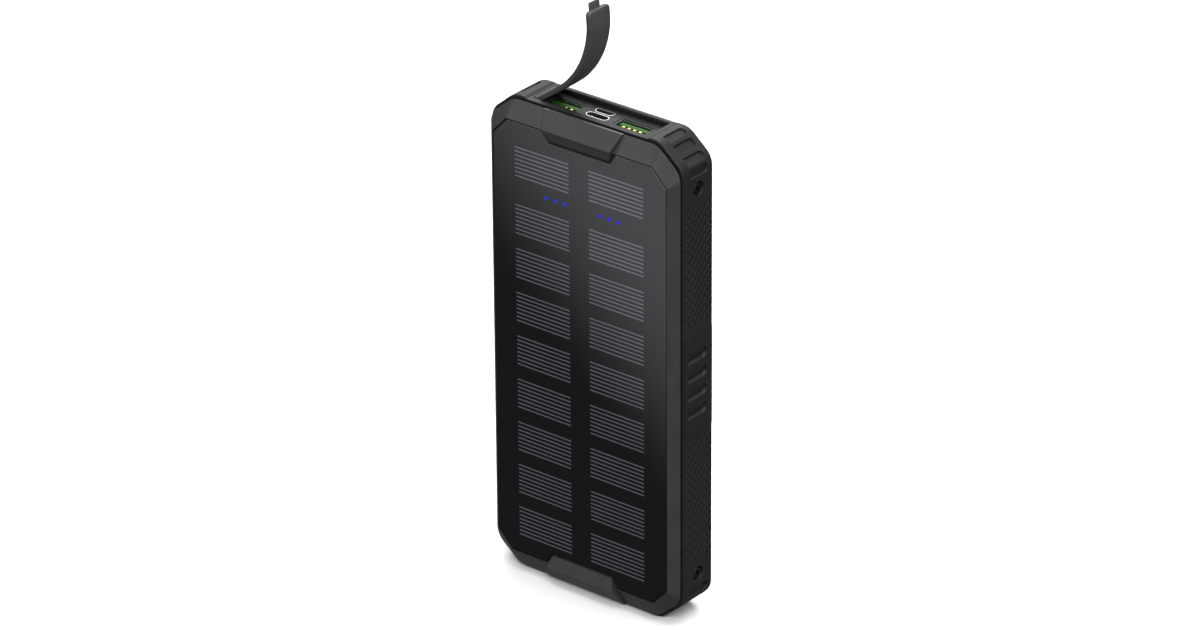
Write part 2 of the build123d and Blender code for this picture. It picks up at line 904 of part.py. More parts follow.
def micro_tongue():
    """The insulator of the smallest socket."""
    low = recess_floor_z - micro_length
    outline = micro_outline(-micro_wall - fit_clearance)
    base = Pos(port_centre_small, micro_y, low) * extrude(outline, amount=micro_base)
    high = recess_floor_z - micro_tongue_setback
    half_x = micro_tongue_width / 2
    half_y = micro_tongue_thickness / 2
    x = port_centre_small
    tongue = block(x - half_x, x + half_x, micro_y - half_y, micro_y + half_y, low + 1, high)
    return base + tongue


# ---------------------------------------------------------------- electronics and batteries
def main_board():
    """The board behind the sockets."""
    board = block(-board_half, board_half, board_front_y, board_back_y, board_bottom_z, board_top_z)
    board = chamfer(board.edges().filter_by(Axis.Y).group_by(Axis.Z)[-1], board_corner_cut)
    for x, z in board_screw_places():
        hole = board_screw_diameter + 2 * screw_hole_clearance
        board -= cylinder_y(x, board_front_y - over, board_back_y + over, z, hole)
    return board


def board_screws():
    """Two pan-head screws into the case's standoffs."""
    screws = []
    for x, z in board_screw_places():
        head = cylinder_y(x, board_front_y - board_screw_cap, board_front_y, z, board_screw_head)
        tip = cavity_back_y + board_screw_bite
        shank = cylinder_y(x, board_front_y, tip, z, board_screw_diameter - 2 * thread_clearance)
        slot_front = board_front_y - board_screw_cap - over
        slot_back = board_front_y - board_screw_slot_floor
        left = x - board_screw_head
        right = x + board_screw_head
        low = z - board_screw_slot / 2
        slot = block(left, right, slot_front, slot_back, low, low + board_screw_slot)
        screws.append(head + shank - slot)
    return Compound(screws)


def control_chips():
    """The charge controller and its smaller neighbour."""
    z = board_bottom_z + chip_rise
    front = board_front_y - chip_height
    chips = []
    for x, size in ((chip_x, chip_size), (small_chip_x, small_chip_size)):
        half = size / 2
        chips.append(block(x - half, x + half, front, board_front_y, z - half, z + half))
    return Compound(chips)


def power_inductors():
    """The two coils of the voltage converter."""
    coils = []
    half = inductor_size / 2
    z = board_bottom_z + low_part_rise
    outer = board_screw_places()[1][0] - inductor_inset
    front = board_front_y - inductor_height
    for x in (-outer, outer):
        coil = block(x - half, x + half, front, board_front_y, z - half, z + half)
        coils.append(chamfer(coil.edges().filter_by(Axis.Y), inductor_chamfer))
    return Compound(coils)


def capacitors():
    """Four round capacitors beside the coils."""
    z = board_bottom_z + low_part_rise
    outer = board_screw_places()[1][0] - capacitor_inset
    front = board_front_y - capacitor_height
    places = [(x, z + rise) for x in (-outer, outer) for rise in (0, capacitor_pitch)]
    return Compound([cylinder_y(x, front, board_front_y, z, capacitor_diameter) for x, z in places])


def battery_span():
    """Lowest and highest point of the battery cells."""
    return middle_z - cavity_half_height + battery_end_gap, board_bottom_z - battery_end_gap


def battery_cell(front):
    """One pouch cell with rounded edges, starting at y = front."""
    low, high = battery_span()
    half = battery_width / 2
    cell = block(-half, half, front, front + battery_thickness, low, high)
    return fillet(cell.edges(), battery_edge_radius)


battery_rear_y = cavity_back_y - battery_foam - battery_thickness
battery_front_y = battery_rear_y - battery_pad - battery_thickness


def battery_pads():
    """The foam sheet behind the cells and the thin one between them."""
    low, high = battery_span()
    half = battery_width / 2 - 2
    rear = block(-half, half, cavity_back_y - battery_foam, cavity_back_y, low + 2, high - 2)
    between = block(-half, half, battery_rear_y - battery_pad, battery_rear_y, low + 2, high - 2)
    return Compound([rear, between])


def battery_tabs():
    """Flat metal tabs from the top of each cell towards the main board."""
    high = battery_span()[1]
    half = cell_tab_width / 2
    tabs = []
    for front, reach in ((battery_front_y, front_tab_reach), (battery_rear_y, rear_tab_reach)):
        y = front + battery_thickness / 2
        for x in (-cell_tab_x, cell_tab_x):
            tabs.append(block(x - half, x + half, y, y + cell_tab_thickness, high, high + reach))
    return Compound(tabs)


def panel_ribbon():
    """The flat cable from the panel's board back to the foot of the main board."""
    left = ribbon_x - ribbon_width / 2
    right = ribbon_x + ribbon_width / 2
    low = board_bottom_z + ribbon_rise
    front = backing_back_y
    pad = block(left, right, front, front + ribbon_thickness, low, low + ribbon_pad_height)
    return pad + block(left, right, front, board_front_y, low, low + ribbon_thickness)


# ---------------------------------------------------------------- power button
def power_button():
    """The oval button, with the flange that keeps it in the wall."""
    outer = -half_width - grip_proud
    flange_x = -cavity_half_width - button_flange_step
    cap = place_left(button_outline(0), outer, flange_x)
    flange = place_left(button_outline(button_flange), flange_x, flange_x + button_flange_thickness)
    rim = cap.faces().sort_by(Axis.X)[0].edges()
    return chamfer(rim, button_edge_break) + flange


def button_inner_x():
    """The inner face of the button's flange."""
    return -cavity_half_width - button_flange_step + button_flange_thickness


def switch_plunger():
    """The short post between the button and the switch."""
    start = button_inner_x()
    return cylinder_x(start, start + plunger_length, port_y, grip_z, plunger_diameter)


def switch_front_x():
    """The face of the switch that the button comes towards."""
    return button_inner_x() + plunger_length - plunger_entry


def tact_switch():
    """The small switch that the plunger slides into."""
    x = switch_front_x()
    half_y = switch_width / 2
    half_z = switch_length / 2
    y = port_y
    body = block(x, x + switch_height, y - half_y, y + half_y, grip_z - half_z, grip_z + half_z)
    floor = x + plunger_entry + button_travel + plunger_clearance
    return body - cylinder_x(x - over, floor, y, grip_z, plunger_diameter + 2 * plunger_clearance)


def button_board():
    """The board that carries the switch, standing along the left wall."""
    x = switch_front_x() + switch_height
    half_y = switch_width / 2 + 1
    half_z = button_board_length / 2
    y = port_y
    back = x + button_board_thickness
    return block(x, back, y - half_y, y + half_y, grip_z - half_z, grip_z + half_z)


# ---------------------------------------------------------------- fasteners
def case_screws():
    """Four side screws, each with a straight drive slot crossed by another."""
    screws = []
    for side, z in screw_places():
        seat = side * (half_width - screw_recess_depth)
        crown = seat + side * screw_head_thickness
        head = cylinder_x(seat, crown, screw_y, z, screw_head_diameter)
        rim = head.faces().sort_by(Axis.X)[-1 if side > 0 else 0].edges()
        head = chamfer(rim, screw_edge_break)
        shank = cylinder_x(seat, seat - side * screw_shank_length, screw_y, z, screw_shank_diameter)
        deep = crown - side * drive_depth
        screw = head + shank
        for half_y, half_z in ((drive_length / 2, drive_width / 2), (drive_width / 2, drive_length / 2)):
            low = min(deep, crown + side * over)
            high = max(deep, crown + side * over)
            screw -= block(low, high, screw_y - half_y, screw_y + half_y, z - half_z, z + half_z)
        screws.append(screw)
    return Compound(screws)


def screw_inserts():
    """Four threaded bushes in the bezel's lugs."""
    inserts = []
    for side, z in screw_places():
        bore = insert_bar(side, z, insert_bore, lug_thickness + 2)
        inserts.append(insert_bar(side, z, insert_diameter, insert_length) - bore)
    return Compound(inserts)


# ---------------------------------------------------------------- port cover
def anchor_hole():
    """The slot in the recess floor that the cover's stem is pushed through."""
    half_x = anchor_thickness / 2 + anchor_clearance
    half_y = anchor_width / 2 + anchor_clearance
    x = anchor_x
    low = cavity_top_z - over
    high = recess_floor_z + over
    return block(x - half_x, x + half_x, port_y - half_y, port_y + half_y, low, high)


def cover_anchor():
    """The stem and barb that hold the port cover in the case."""
    half_x = anchor_thickness / 2
    half_y = anchor_width / 2
    x = anchor_x
    top = strap_z - strap_thickness / 2 - strap_link_gap
    barb_top = cavity_top_z - barb_gap
    low = barb_top - anchor_barb_height
    stem = block(x - half_x, x + half_x, port_y - half_y, port_y + half_y, low, top)
    barb = block(x - half_x - anchor_barb, x, port_y - half_y, port_y + half_y, low, barb_top)
    return stem + barb


def link_length(index):
    """The first link is longer, because the strap bends little beside its root."""
    return strap_root_length if index == 0 else strap_link_length


def strap_joints():
    """Hinge places along the bent strap, from its root to its free end."""
    points = [(strap_root_x, strap_z)]
    for index, angle in enumerate(strap_angles):
        x, z = points[-1]
        length = link_length(index)
        heading = math.radians(angle)
        points.append((x + length * math.cos(heading), z + length * math.sin(heading)))
    return points


def cover_link(index):
    """One link of the strap: round at its root and square at its other end."""
    length = link_length(index)
    angle = strap_angles[index]
    x, z = strap_joints()[index]
    half = strap_thickness / 2
    last = index == len(strap_angles) - 1
    end = length if last else length - half - strap_link_gap
    side_view = Circle(half) + Pos(end / 2, 0) * Rectangle(end, strap_thickness)
    across = Plane(origin=(0, 0, 0), x_dir=(1, 0, 0), z_dir=(0, -1, 0))
    link = extrude(across * side_view, amount=strap_width / 2, both=True)
    if last:
        side = tab_width / 2
        tab = block(end - tab_root, end + tab_length, -side, side, half, half + tab_thickness)
        corners = link.edges().filter_by(Axis.Z).group_by(Axis.X)[-1]
        link = fillet(corners, 1.0) + tab
    return Pos(x, recess_y, z) * Rot(0, -angle, 0) * link


# ---------------------------------------------------------------- all sub-parts
parts = {
    "rear_case": rear_case(),
    "front_bezel": front_bezel(),
    "panel_glass": panel_glass(),
    "panel_adhesive": panel_adhesive(),
    "solar_cells": solar_cells(),
    "panel_backing": panel_backing(),
    "status_lenses": status_lenses(),
    "status_leds": status_leds(),
    "led_board": led_board(),
    "case_seal": case_seal(),
    "usb_c_shell": usb_c_shell(),
    "usb_c_tongue": usb_c_tongue(),
    "micro_usb_shell": micro_shell(),
    "micro_usb_tongue": micro_tongue(),
    "main_board": main_board(),
    "board_screws": board_screws(),
    "control_chips": control_chips(),
    "power_inductors": power_inductors(),
    "capacitors": capacitors(),
    "battery_cell_front": battery_cell(battery_front_y),
    "battery_cell_rear": battery_cell(battery_rear_y),
    "battery_pads": battery_pads(),
    "battery_tabs": battery_tabs(),
    "panel_ribbon": panel_ribbon(),
    "power_button": power_button(),
    "switch_plunger": switch_plunger(),
    "tact_switch": tact_switch(),
    "button_board": button_board(),
    "case_screws": case_screws(),
    "screw_inserts": screw_inserts(),
    "cover_anchor": cover_anchor(),
}
for name, x in usb_a_centres.items():
    parts[f"usb_a_{name}_shell"] = usb_a_shell(x)
    parts[f"usb_a_{name}_tongue"] = usb_a_tongue(x)
    parts[f"usb_a_{name}_contacts"] = usb_a_contacts(x)
for index in range(len(strap_angles)):
    parts[f"cover_link_{index + 1}"] = cover_link(index)

os.makedirs("parts", exist_ok=True)
for name, shape in parts.items():
    shape.label = name
    export_step(shape, f"parts/{name}.step")
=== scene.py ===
"""A rugged solar power bank, standing on its foot with its port cover bent open."""
import bmesh
import bpy
import json
import math
from mathutils import Matrix, Vector


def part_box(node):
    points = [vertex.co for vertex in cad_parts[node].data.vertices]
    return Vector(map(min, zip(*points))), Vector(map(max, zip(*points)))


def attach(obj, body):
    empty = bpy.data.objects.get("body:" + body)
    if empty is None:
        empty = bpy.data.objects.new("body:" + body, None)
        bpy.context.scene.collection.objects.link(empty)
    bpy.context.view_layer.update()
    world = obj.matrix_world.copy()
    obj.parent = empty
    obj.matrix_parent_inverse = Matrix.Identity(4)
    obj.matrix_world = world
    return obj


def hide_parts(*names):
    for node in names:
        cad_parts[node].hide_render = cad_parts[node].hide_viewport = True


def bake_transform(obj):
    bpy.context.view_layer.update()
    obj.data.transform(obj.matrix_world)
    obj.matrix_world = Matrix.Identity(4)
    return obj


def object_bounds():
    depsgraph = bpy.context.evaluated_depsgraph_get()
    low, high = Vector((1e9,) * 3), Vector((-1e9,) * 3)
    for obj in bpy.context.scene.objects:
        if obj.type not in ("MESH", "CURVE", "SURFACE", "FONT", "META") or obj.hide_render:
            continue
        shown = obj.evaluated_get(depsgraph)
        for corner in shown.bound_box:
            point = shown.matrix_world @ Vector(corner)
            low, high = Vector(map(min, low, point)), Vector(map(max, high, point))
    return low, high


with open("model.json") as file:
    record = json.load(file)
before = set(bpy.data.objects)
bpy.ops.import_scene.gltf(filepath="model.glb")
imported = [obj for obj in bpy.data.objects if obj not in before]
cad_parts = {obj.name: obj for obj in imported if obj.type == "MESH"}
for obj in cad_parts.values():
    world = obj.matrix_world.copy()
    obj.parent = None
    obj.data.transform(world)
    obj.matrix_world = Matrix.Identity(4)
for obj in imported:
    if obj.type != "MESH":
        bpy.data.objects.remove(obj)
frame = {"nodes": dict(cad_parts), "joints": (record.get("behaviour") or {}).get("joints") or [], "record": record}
cad_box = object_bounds()
record = frame["record"]
nodes = frame["nodes"]

MM = 0.001
NEAR = 1e-6

# ------------------------------------------------------------------ sizes, in millimetres
# silver fingers printed on the solar cells
FINGER_WIDTH = 0.52
FINGER_PROUD = 0.02
FINGER_SUNK = 0.05
FINGER_ROUND = 0.156
FINGERS_PER_CELL = 8
CELL_BORDER = 1.4
FIRST_ROW_STEP = 21.0
LOWER_ROWS = 8
PITCHES_PER_ROW = 11
COLUMN_GAP = 8.3

# waffle knurling in the side recesses
GRIP_PROUD = 0.4
FIELD_NEAR = {"upper": 21.8, "lower": 19.4}
FIELD_FAR = 65.5
FIELD_FRONT = 0.8
FIELD_BACK = 1.2
KNURL_PITCH = 2.3
KNURL_RIB = 0.45
KNURL_SLOPE = 0.3
KNURL_DEPTH = 0.23
KNURL_BASE = 0.45
GRID_COVER = 0.75
KNURL_SMOOTH = 25

# rubber strap over the ports
STRAP_WIDTH = 10.8
STRAP_THICKNESS = 1.8
STRAP_EDGE = 0.45
STRAP_TIP_ANGLE = 95
STRAP_SMOOTH = 40
STRAP_ROOT_BACK = 1.1
STRAP_ROOT_TANGENT = 0.95
STRAP_TANGENT = 2.4
STRAP_TIP_ROUND = 1.3
TIP_STEPS = 5
TAB_WIDTH = 5.2
TAB_ROOT = 3.0
TAB_LENGTH = 2.4
TAB_THICKNESS = 0.8
TAB_EDGE = 0.25
ARC_STEPS = 8

# every mesh
MERGE_DISTANCE = 0.001
SMOOTH_ANGLE = 35

# sockets of the colour mix node
MIX_FACTOR = 0
MIX_LOW = 6
MIX_HIGH = 7
MIX_RESULT = 2

# moulded surfaces: how far tone and sheen swing over the grain
PATCH_DETAIL = 3.0
PATCH_LOW = 0.35
PATCH_HIGH = 0.65
GRAIN_LOW = 0.3
GRAIN_HIGH = 0.7
SHEEN_SWING = 0.06
LEAST_ROUGHNESS = 0.02
EDGE_SAMPLES = 6

# glass over the cells: its coat, and the slanting edge of the painted reflection on the film behind it
GLASS_IOR = 1.52
COATED_LEVEL = 0.14
PAINTED_REFLECTION_ACROSS = 0.3
PAINTED_REFLECTION_STARTS = 0.45
PAINTED_REFLECTION_FULL = 0.86


# ------------------------------------------------------------------ modelling helpers
def deselect():
    """Leave edit mode and select nothing."""
    if bpy.context.object and bpy.context.object.mode != "OBJECT":
        bpy.ops.object.mode_set(mode="OBJECT")
    bpy.ops.object.select_all(action="DESELECT")


def name_and_settle(name, size=(1, 1, 1)):
    """Name the new unit primitive, put its size and place into its mesh and open it for editing."""
    piece = bpy.context.object
    piece.scale = size
    piece.name = name
    piece.data.name = name
    bpy.ops.object.transform_apply(location=True, rotation=True, scale=True)
    bpy.ops.object.mode_set(mode="EDIT")
    return piece


def choose(piece, kind, test):
    """Select the faces, edges or verts that pass a test, and nothing else."""
    bpy.ops.mesh.select_mode(type=kind)
    bpy.ops.mesh.select_all(action="DESELECT")
    mesh = bmesh.from_edit_mesh(piece.data)
    parts = {"VERT": mesh.verts, "EDGE": mesh.edges, "FACE": mesh.faces}[kind]
    for part in parts:
        if test(part):
            part.select_set(True)
    mesh.select_flush_mode()
    bmesh.update_edit_mesh(piece.data)


def finish_mesh(piece, smooth_angle=SMOOTH_ANGLE):
    """Merge doubles, turn the faces outwards and shade the piece."""
    bpy.ops.mesh.select_mode(type="VERT")
    bpy.ops.mesh.select_all(action="SELECT")
    bpy.ops.mesh.remove_doubles(threshold=MERGE_DISTANCE * MM)
    bpy.ops.mesh.normals_make_consistent(inside=False)
    bpy.ops.object.mode_set(mode="OBJECT")
    bpy.ops.object.shade_smooth_by_angle(angle=math.radians(smooth_angle))
    deselect()
    return piece


def slide(offset):
    """Extrude what is selected by an offset."""
    bpy.ops.mesh.extrude_region_move(TRANSFORM_OT_translate={"value": offset})


def dress(piece, material):
    """Give a piece one material."""
    piece.data.materials.clear()
    piece.data.materials.append(material)


def copy_of(piece, name, matrix):
    """A copy with its own mesh, moved in its vertices."""
    twin = piece.copy()
    twin.data = piece.data.copy()
    twin.name = name
    twin.data.name = name
    twin.data.transform(matrix)
    bpy.context.scene.collection.objects.link(twin)
    return twin


def join(pieces, name):
    """Make several pieces one."""
    deselect()
    for piece in pieces:
        piece.select_set(True)
    bpy.context.view_layer.objects.active = pieces[0]
    bpy.ops.object.join()
    joined = bpy.context.object
    joined.name = name
    joined.data.name = name
    deselect()
    return joined


# ------------------------------------------------------------------ material helpers
def linear(code):
    """An sRGB hex colour as linear red, green, blue and alpha."""
    channels = [int(code[i:i + 2], 16) / 255 for i in (1, 3, 5)]
    return tuple([c / 12.92 if c <= 0.04045 else ((c + 0.055) / 1.055) ** 2.4 for c in channels] + [1.0])


def add(tree, kind, inputs=None, **settings):
    """Add a shader node with its settings; an input that is another node's socket is linked."""
    new = tree.nodes.new(kind)
    for name, value in settings.items():
        setattr(new, name, value)
    for name, value in (inputs or {}).items():
        if isinstance(value, bpy.types.NodeSocket):
            tree.links.new(value, new.inputs[name])
        else:
            new.inputs[name].default_value = value
    return new


def open_material(name, roughness, metallic=0.0, **shader):
    """A new material with its uniform values set on the shader's own sockets."""
    made = bpy.data.materials.new(name)
    made.use_nodes = True
    principled = made.node_tree.nodes["Principled BSDF"]
    principled.inputs["Roughness"].default_value = roughness
    principled.inputs["Metallic"].default_value = metallic
    for key, value in shader.items():
        principled.inputs[key.replace("_", " ")].default_value = value
    return made, made.node_tree, principled


def object_place(tree):
    """Where a point is, in the piece's own coordinates."""
    return add(tree, "ShaderNodeTexCoord").outputs["Object"]


def noise(tree, place, size_mm, detail=2.0):
    """Noise of a real size."""
    inputs = {"Vector": place, "Scale": 1 / (size_mm * MM), "Detail": detail}
    return add(tree, "ShaderNodeTexNoise", inputs).outputs["Fac"]


def spread(tree, value, low, high, to_low=0.0, to_high=1.0, **settings):
    """A value's range, stretched onto another one and held inside it."""
    inputs = {"Value": value, "From Min": low, "From Max": high, "To Min": to_low, "To Max": to_high}
    return add(tree, "ShaderNodeMapRange", inputs, **settings).outputs["Result"]


def tint(tree, factor, low, high):
    """A colour between two hex colours."""
    inputs = {MIX_FACTOR: factor, MIX_LOW: linear(low), MIX_HIGH: linear(high)}
    return add(tree, "ShaderNodeMix", inputs, data_type="RGBA").outputs[MIX_RESULT]


def relief(tree, height, depth_mm):
    """A bump of a real depth."""
    return add(tree, "ShaderNodeBump", {"Height": height, "Distance": depth_mm * MM})


def moulded(
    name, low, high, roughness, grain_mm, relief_mm, edge_mm=0.0, patch_mm=9.0, metallic=0.0, **shader
):
    """A surface with a fine even grain in relief, faint patches of tone and softened edges."""
    made, tree, principled = open_material(name, roughness, metallic, **shader)
    place = object_place(tree)
    patches = spread(tree, noise(tree, place, patch_mm, PATCH_DETAIL), PATCH_LOW, PATCH_HIGH)
    grain = noise(tree, place, grain_mm)
    dullest = roughness + SHEEN_SWING
    shiniest = max(roughness - SHEEN_SWING, LEAST_ROUGHNESS)
    sheen = spread(tree, grain, GRAIN_LOW, GRAIN_HIGH, shiniest, dullest)
    bump = relief(tree, grain, relief_mm)
    if edge_mm:
        soft = add(tree, "ShaderNodeBevel", {"Radius": edge_mm * MM}, samples=EDGE_SAMPLES)
        tree.links.new(soft.outputs["Normal"], bump.inputs["Normal"])
    tree.links.new(tint(tree, patches, low, high), principled.inputs["Base Color"])
    tree.links.new(sheen, principled.inputs["Roughness"])
    tree.links.new(bump.outputs["Normal"], principled.inputs["Normal"])
    return made


# ------------------------------------------------------------------ materials
def case_plastic():
    """Moulded ABS with a spark-eroded surface: near black, matt, with a very fine even grain."""
    return moulded(
        "moulded_abs_case", "#161617", "#1b1b1c", roughness=0.55, grain_mm=0.45, relief_mm=0.04,
        edge_mm=0.22, IOR=1.53, Specular_IOR_Level=0.3,
    )


def bezel_plastic():
    """Moulded ABS with a satin paint: dark grey, smoother than the case."""
    return moulded(
        "satin_painted_abs_bezel", "#333334", "#393939", roughness=0.42, grain_mm=0.32, relief_mm=0.015,
        edge_mm=0.2, IOR=1.5, Specular_IOR_Level=0.42,
    )


def painted_reflection_gradient(tree, place):
    """A painted reflection on the face: dark at the lower left, with a soft slanting edge to the upper right."""
    low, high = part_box("panel_glass")
    parts = add(tree, "ShaderNodeSeparateXYZ", {"Vector": place})
    across = spread(tree, parts.outputs["X"], low[0], high[0], to_high=PAINTED_REFLECTION_ACROSS)
    up = spread(tree, parts.outputs["Z"], low[2], high[2], to_high=1 - PAINTED_REFLECTION_ACROSS)
    both = add(tree, "ShaderNodeMath", {0: across, 1: up}, operation="ADD").outputs["Value"]
    return spread(tree, both, PAINTED_REFLECTION_STARTS, PAINTED_REFLECTION_FULL, interpolation_type="SMOOTHSTEP")


def cover_glass():
    """Float glass with an anti-reflection coat and a black film behind it.

    It is nearly black, with a clear polished surface whose coat cuts the reflections, and the
    film behind it carries a painted reflection: lighter towards its upper right, darker at its lower left.
    """
    made, tree, principled = open_material(
        "coated_float_glass", 0.05, IOR=GLASS_IOR, Specular_IOR_Level=COATED_LEVEL
    )
    place = object_place(tree)
    # painted reflection: the film's colour runs from near black at the lower left to grey at the upper right
    film = tint(tree, painted_reflection_gradient(tree, place), "#141415", "#515153")
    dust = noise(tree, place, 14, detail=4.0)
    haze = spread(tree, dust, 0.0, 1.0, 0.03, 0.07)
    tree.links.new(film, principled.inputs["Base Color"])
    tree.links.new(haze, principled.inputs["Roughness"])
    return made


def finger_silver():
    """Screen-printed silver paste seen through glass: soft violet grey, with the glass's painted reflection,
    duller at the lower left and lighter at the upper right.
    """
    made, tree, principled = open_material(
        "printed_silver_finger", 0.06, IOR=GLASS_IOR, Specular_IOR_Level=COATED_LEVEL
    )
    place = object_place(tree)
    # painted reflection: the fingers' grey follows the same gradient as the glass
    tone = tint(tree, painted_reflection_gradient(tree, place), "#5c5b66", "#827f8e")
    bump = relief(tree, noise(tree, place, 0.4), 0.003)
    tree.links.new(tone, principled.inputs["Base Color"])
    tree.links.new(bump.outputs["Normal"], principled.inputs["Normal"])
    return made


def strap_rubber():
    """Moulded TPU rubber: mid grey, satin, with a soft sheen."""
    return moulded(
        "satin_tpu_rubber", "#3a3a3b", "#404041", roughness=0.6, grain_mm=0.5, relief_mm=0.02,
        patch_mm=5.0, IOR=1.5,
    )


def seal_rubber():
    """Soft silicone: black and dull."""
    return moulded(
        "black_silicone_seal", "#0b0b0b", "#101010", roughness=0.6, grain_mm=0.4, relief_mm=0.02,
        patch_mm=5.0, IOR=1.42,
    )


def bright_tin():
    """Nickel-plated steel strip: bright, with fine drawing lines along its height."""
    made, tree, principled = open_material("nickel_plated_steel", 0.32, 1.0)
    stretch = add(tree, "ShaderNodeMapping", {"Vector": object_place(tree), "Scale": (1.0, 1.0, 0.08)})
    lines = noise(tree, stretch.outputs["Vector"], 0.15)
    bump = relief(tree, lines, 0.004)
    tree.links.new(tint(tree, lines, "#a9a9ac", "#c6c6c9"), principled.inputs["Base Color"])
    tree.links.new(bump.outputs["Normal"], principled.inputs["Normal"])
    return made


def blue_light():
    """Clear acrylic light pipe, lit from behind by a blue diode, with a faint cloudiness."""
    made, tree, principled = open_material("lit_blue_acrylic", 0.1, IOR=1.49)
    tone = tint(tree, noise(tree, object_place(tree), 0.8), "#1c22c8", "#3238e0")
    principled.inputs["Emission Strength"].default_value = 0.25
    tree.links.new(tone, principled.inputs["Base Color"])
    tree.links.new(tone, principled.inputs["Emission Color"])
    return made


def circuit_board():
    """Green solder mask over copper tracks: glossy, with tracks a shade lighter."""
    made, tree, principled = open_material("green_solder_mask", 0.3, IOR=1.5)
    inputs = {"Vector": object_place(tree), "Scale": 1 / (2.2 * MM)}
    cells = add(tree, "ShaderNodeTexVoronoi", inputs, distance="MANHATTAN")
    tracks = spread(tree, cells.outputs["Distance"], 0.35, 0.45)
    bump = relief(tree, tracks, 0.03)
    tree.links.new(tint(tree, tracks, "#0d3a1e", "#17562c"), principled.inputs["Base Color"])
    tree.links.new(bump.outputs["Normal"], principled.inputs["Normal"])
    return made


def cell_silicon():
    """Monocrystalline silicon: blue black, with a nitride coat that shines."""
    return moulded(
        "coated_silicon_cell", "#0c0d16", "#12131f", roughness=0.2, grain_mm=0.3, relief_mm=0.004, IOR=1.9
    )


def white_ceramic():
    """Diode package: white, with a soft gloss."""
    return moulded(
        "white_ceramic_package", "#d8d6cc", "#e2e0d8", roughness=0.4, grain_mm=0.2, relief_mm=0.004,
        patch_mm=1.0, IOR=1.6,
    )


def green_insulator():
    """Glass-filled PBT: deep green and dull, slightly speckled."""
    return moulded(
        "green_pbt_insulator", "#1b4d0c", "#225a10", roughness=0.5, grain_mm=0.25, relief_mm=0.008,
        patch_mm=3.0, IOR=1.55, Specular_IOR_Level=0.2,
    )


def black_insulator():
    """LCP insulator: black and dull."""
    return moulded(
        "black_lcp_insulator", "#0e0e0f", "#131314", roughness=0.5, grain_mm=0.25, relief_mm=0.008,
        patch_mm=3.0, IOR=1.6,
    )


def contact_gold():
    """Gold flash over nickel: yellow and bright."""
    return moulded(
        "gold_flashed_contact", "#f4cf66", "#fbe08c", roughness=0.35, grain_mm=0.2, relief_mm=0.003,
        patch_mm=1.0, metallic=1.0,
    )


def black_epoxy():
    """Epoxy moulding compound: black, with a matt ground face."""
    return moulded(
        "black_epoxy_package", "#121213", "#18181a", roughness=0.55, grain_mm=0.2, relief_mm=0.01,
        patch_mm=2.0, IOR=1.55,
    )


def pouch_film():
    """Aluminium laminate film: silver, with faint creases."""
    return moulded(
        "aluminium_pouch_film", "#a5a8ad", "#b8bbc0", roughness=0.32, grain_mm=2.4, relief_mm=0.12,
        patch_mm=12.0, metallic=1.0,
    )


def urethane_foam():
    """Polyurethane foam: dark and open celled."""
    return moulded(
        "dark_urethane_foam", "#1b1b1c", "#29292a", roughness=0.9, grain_mm=0.6, relief_mm=0.2,
        patch_mm=2.0, IOR=1.5,
    )


def black_steel():
    """Zinc-plated steel screws, blackened: dark grey with a soft shine."""
    return moulded(
        "black_zinc_steel", "#2e2e30", "#3a3a3d", roughness=0.4, grain_mm=0.3, relief_mm=0.008,
        edge_mm=0.12, metallic=1.0,
    )


def turned_brass():
    """Free-cutting brass, turned: yellow and bright."""
    return moulded(
        "turned_brass", "#b58b3f", "#c69c4c", roughness=0.28, grain_mm=0.2, relief_mm=0.01, metallic=1.0
    )


def acrylic_tape():
    """Acrylic foam tape: black and dull."""
    return moulded(
        "black_acrylic_tape", "#0b0b0b", "#121212", roughness=0.6, grain_mm=0.3, relief_mm=0.02,
        patch_mm=2.0, IOR=1.48,
    )


def make_materials():
    """Every material of the power bank, by the record's slot."""
    return {
        "case_shell": case_plastic(),
        "bezel": bezel_plastic(),
        "panel_face": cover_glass(),
        "soft_seal": seal_rubber(),
        "cover_rubber": strap_rubber(),
        "port_metal": bright_tin(),
        "light": blue_light(),
        "board": circuit_board(),
        "solar_cell": cell_silicon(),
        "led": white_ceramic(),
        "port_green": green_insulator(),
        "port_black": black_insulator(),
        "contact_gold": contact_gold(),
        "chip": black_epoxy(),
        "battery_film": pouch_film(),
        "foam": urethane_foam(),
        "steel": black_steel(),
        "brass": turned_brass(),
        "adhesive": acrylic_tape(),
    }


materials = make_materials()


def dress_cad_nodes():
    """Give every CAD node the material of its slot."""
    for part in record["subparts"]:
        mesh = nodes[part["node"]].data
        mesh.materials.clear()
        mesh.materials.append(materials[part["material_slot"]])


dress_cad_nodes()


# ------------------------------------------------------------------ silver fingers of the solar cells
def finger(name, centre, length):
    """One printed finger: a thin bar with rounded ends."""
    deselect()
    depth = (FINGER_PROUD + FINGER_SUNK) * MM
    bpy.ops.mesh.primitive_cube_add(size=1, location=centre)
    piece = name_and_settle(name, (length, depth, FINGER_WIDTH * MM))
    half = length / 2

    def at_an_end(edge):
        """An edge through the bar's depth, at one of its ends."""
        start, end = (vert.co for vert in edge.verts)
        level = all(abs(abs(point.x - centre.x) - half) < NEAR for point in (start, end))
        return level and abs(start.y - end.y) > NEAR

    choose(piece, "EDGE", at_an_end)
    bpy.ops.mesh.bevel(offset=FINGER_ROUND * MM, segments=2, affect="EDGES")
    return finish_mesh(piece)


